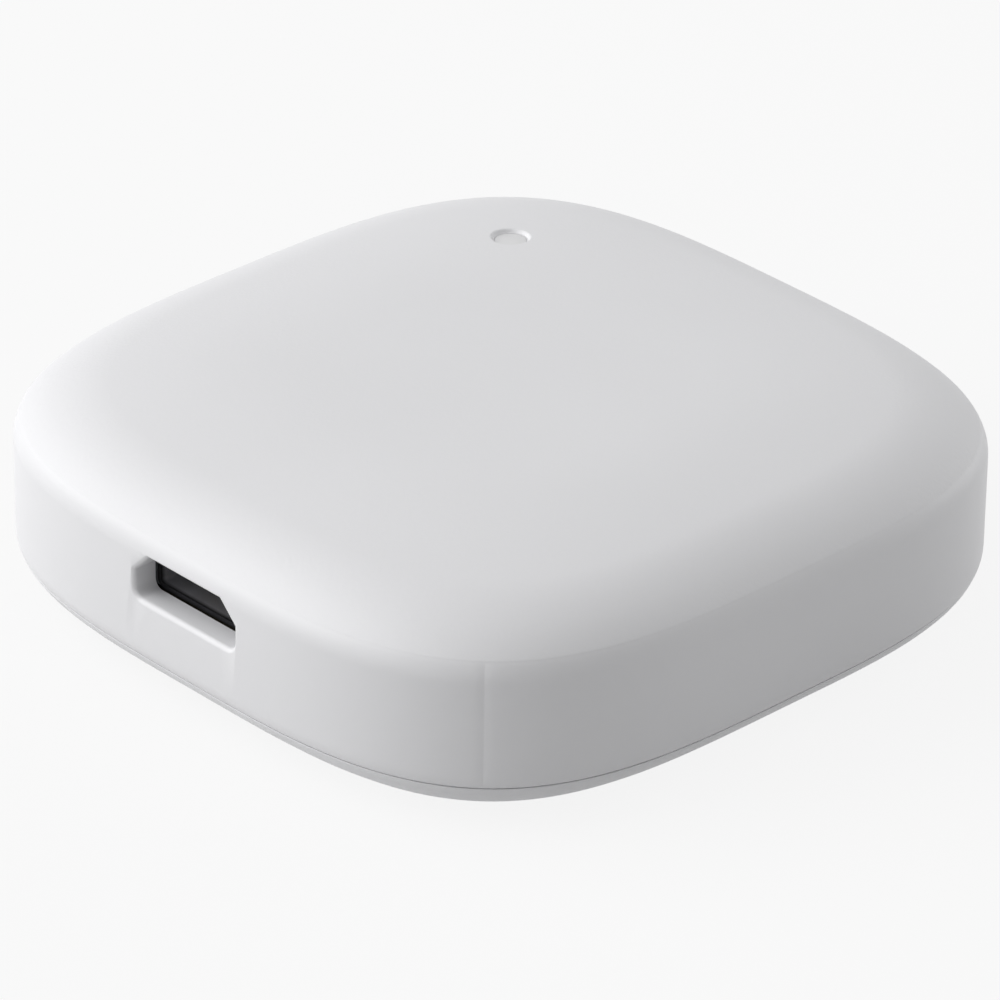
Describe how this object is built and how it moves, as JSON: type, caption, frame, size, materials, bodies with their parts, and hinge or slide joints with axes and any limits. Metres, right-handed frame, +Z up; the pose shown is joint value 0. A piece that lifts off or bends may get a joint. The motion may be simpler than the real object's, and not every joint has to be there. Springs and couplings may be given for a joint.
{
  "type": "gps tracker",
  "caption": "Small domed, rounded-square pocket tracker with a charging port in one side and a recessed push button that lets its status light through.",
  "frame": {"origin": "middle of the flat underside, at the foot of the bounding box", "axes": "+Z up through the domed top; the charging port is in the -Y wall; the button is near the -X, +Y corner"},
  "size_m": [0.042, 0.0421, 0.0119],
  "materials": {
    "housing_plastic": "fine spark-eroded grain",
    "button_plastic": "smooth, milky, passes the status light",
    "seal_silicone": "matt silicone",
    "dark_moulding": "matt black moulding",
    "steel_sheet": "stamped and folded sheet",
    "gilt_contact": "gold flash over copper alloy",
    "board_laminate": "solder mask over glass laminate",
    "chip_epoxy": "matt moulding compound",
    "part_ceramic": "unglazed fired ceramic",
    "silver_face": "fired silver and nickel plate",
    "pouch_foil": "laminated foil pouch",
    "adhesive_foam": "thin foam tape",
    "red_insulation": "smooth wire insulation",
    "black_insulation": "smooth wire insulation",
    "white_moulding": "unpigmented moulding",
    "light_lens": "clear cast lens"
  },
  "bodies": {
    "housing": {"top_shell": "housing_plastic", "bottom_cover": "housing_plastic", "perimeter_seal": "seal_silicone", "port_seal": "seal_silicone", "switch_base": "dark_moulding", "charging_port_insulator": "dark_moulding", "aerial_frame": "dark_moulding", "battery_socket": "dark_moulding", "switch_snap_dome": "steel_sheet", "switch_cover": "steel_sheet", "modem_shield": "steel_sheet", "radio_shield": "steel_sheet", "charging_port_shell": "steel_sheet", "board_screws": "steel_sheet", "cellular_aerial": "gilt_contact", "wifi_aerial": "gilt_contact", "aerial_springs": "gilt_contact", "charging_port_contacts": "gilt_contact", "patch_pin": "gilt_contact", "main_board": "board_laminate", "guard_board": "board_laminate", "modem_chip": "chip_epoxy", "memory_chip": "chip_epoxy", "satellite_receiver_chip": "chip_epoxy", "wifi_chip": "chip_epoxy", "sim_chip": "chip_epoxy", "power_chip": "chip_epoxy", "power_inductor": "chip_epoxy", "motion_sensor": "chip_epoxy", "satellite_patch": "part_ceramic", "capacitors": "part_ceramic", "patch_electrode": "silver_face", "cell_tabs": "silver_face", "clock_crystal": "silver_face", "battery_cell": "pouch_foil", "cell_adhesive": "adhesive_foam", "patch_adhesive": "adhesive_foam", "battery_lead_positive": "red_insulation", "battery_lead_negative": "black_insulation", "battery_plug": "white_moulding", "status_led": "light_lens"},
    "button": {"button_cap": "button_plastic", "button_seal_ring": "seal_silicone"},
    "plunger": {"switch_plunger": "dark_moulding"}
  },
  "joints": [
    {"name": "button_press", "type": "slide", "parent": "housing", "child": "button", "axis": [0, 0, -1], "range_m": [0, 0.00025], "stiffness_N_per_m": 3000, "springref_m": -0.0001},
    {"name": "plunger_press", "type": "slide", "parent": "housing", "child": "plunger", "axis": [0, 0, -1], "range_m": [0, 0.00025], "deforming": ["switch_snap_dome"]}
  ],
  "couplings": [
    {"joint": "plunger_press", "follows": "button_press", "ratio": 1}
  ]
}
